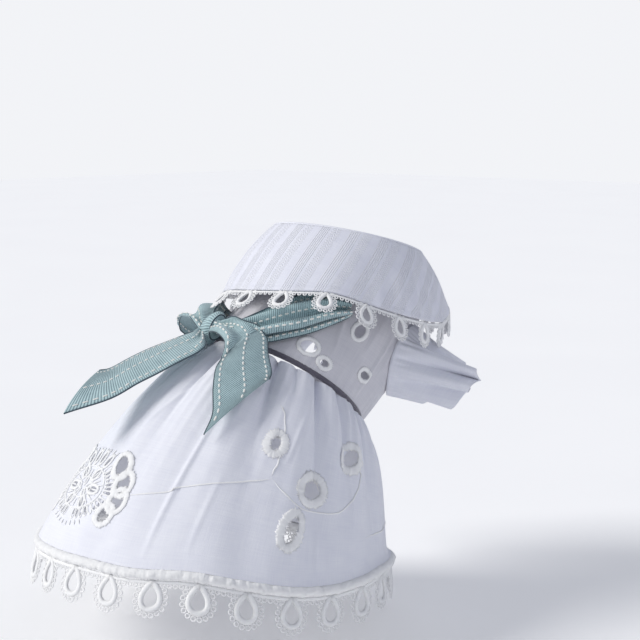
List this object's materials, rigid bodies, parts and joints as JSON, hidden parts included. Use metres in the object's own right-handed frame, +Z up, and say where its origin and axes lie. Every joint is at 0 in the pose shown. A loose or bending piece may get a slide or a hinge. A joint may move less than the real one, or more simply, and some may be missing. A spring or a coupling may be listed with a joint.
{
  "type": "dog dress",
  "caption": "Small white cotton dog dress, hollow and in its worn form, with a cape collar, gathered eyelet skirt, lace edges and a ribbon bow at the back.",
  "frame": {"origin": "middle of the neck opening, where the neck holds the dress up", "axes": "+Z up, +X towards the wearer's head, -Y is the wearer's right side"},
  "size_m": [0.3433, 0.2536, 0.2684],
  "materials": {
    "white_cotton": "crisp plain-woven cotton, matte",
    "white_lace": "bright white corded cotton lace, matte",
    "grey_piping": "dark grey cotton piping, matte",
    "teal_ribbon": "slate teal grosgrain ribbon with a soft sheen"
  },
  "bodies": {
    "root": {"bodice": "white_cotton", "collar": "white_cotton", "collar_lace": "white_lace", "waist_piping": "grey_piping", "skirt": "white_cotton", "hem_cord": "white_lace", "hem_lace": "white_lace", "sleeve_right": "white_cotton", "sleeve_left": "white_cotton", "bow_knot": "teal_ribbon", "bow_loop_right": "teal_ribbon", "bow_loop_left": "teal_ribbon", "bow_tail_right": "teal_ribbon", "bow_tail_left": "teal_ribbon"}
  },
  "joints": []
}
